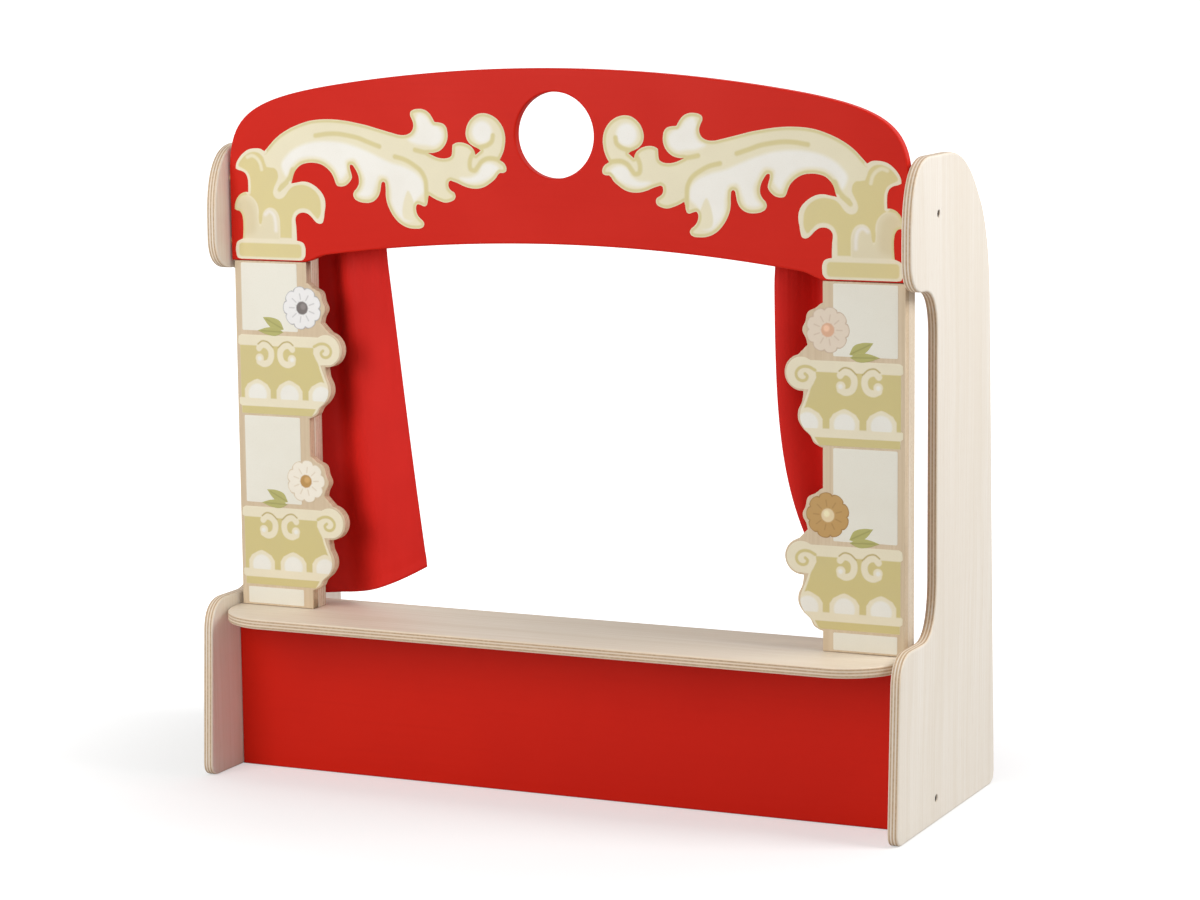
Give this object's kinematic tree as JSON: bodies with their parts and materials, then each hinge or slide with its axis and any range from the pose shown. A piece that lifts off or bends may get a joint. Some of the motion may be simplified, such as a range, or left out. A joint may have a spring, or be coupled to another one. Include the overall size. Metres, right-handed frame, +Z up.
{
  "type": "puppet theatre stand",
  "caption": "Table-top puppet theatre stand: shaped plywood sides, arched red front with a round hole, balconied columns, a counter and sliding curtains.",
  "frame": {"origin": "middle of the stand, on the surface that its side panels stand on", "axes": "+X across the stage from the left column to the right, +Y from the audience to the back, +Z up"},
  "size_m": [0.7, 0.2694, 0.6701],
  "materials": {
    "birch_ply": "clear satin birch plywood, plies showing on its edges",
    "red_lacquer": "satin red lacquer on plywood",
    "column_wood": "satin birch plywood with a cream and gold printed ornament",
    "beech_dowel": "plain turned beech",
    "steel_screw": "dark blackened steel",
    "curtain_cloth": "red woven cloth with a soft sheen"
  },
  "bodies": {
    "stand": {"left_side_panel": "birch_ply", "left_column_board": "column_wood", "left_column_post": "birch_ply", "right_side_panel": "birch_ply", "right_column_board": "column_wood", "right_column_post": "birch_ply", "counter": "birch_ply", "front_panel": "red_lacquer", "arch_board": "red_lacquer", "curtain_rod": "beech_dowel", "bottom_rail": "beech_dowel", "left_counter_pin_back": "beech_dowel", "left_counter_pin_front": "beech_dowel", "left_front_panel_pin_low": "beech_dowel", "left_front_panel_pin_high": "beech_dowel", "left_arch_pin_low": "beech_dowel", "left_arch_pin_high": "beech_dowel", "left_post_pin_outer": "beech_dowel", "left_post_pin_inner": "beech_dowel", "left_column_screw_low": "steel_screw", "left_column_screw_high": "steel_screw", "left_arch_screw_low": "steel_screw", "left_arch_screw_high": "steel_screw", "left_rod_screw": "steel_screw", "left_rail_screw": "steel_screw", "right_counter_pin_back": "beech_dowel", "right_counter_pin_front": "beech_dowel", "right_front_panel_pin_low": "beech_dowel", "right_front_panel_pin_high": "beech_dowel", "right_arch_pin_low": "beech_dowel", "right_arch_pin_high": "beech_dowel", "right_post_pin_outer": "beech_dowel", "right_post_pin_inner": "beech_dowel", "right_column_screw_low": "steel_screw", "right_column_screw_high": "steel_screw", "right_arch_screw_low": "steel_screw", "right_arch_screw_high": "steel_screw", "right_rod_screw": "steel_screw", "right_rail_screw": "steel_screw", "panel_top_pin_left": "beech_dowel", "panel_top_pin_middle": "beech_dowel", "panel_top_pin_right": "beech_dowel"},
    "left_curtain": {"left_curtain": "curtain_cloth"},
    "right_curtain": {"right_curtain": "curtain_cloth"}
  },
  "joints": [
    {"name": "left_curtain_slide", "type": "slide", "parent": "stand", "child": "left_curtain", "axis": [1, 0, 0], "range_m": [0, 0.187]},
    {"name": "right_curtain_slide", "type": "slide", "parent": "stand", "child": "right_curtain", "axis": [-1, 0, 0], "range_m": [0, 0.187]}
  ]
}
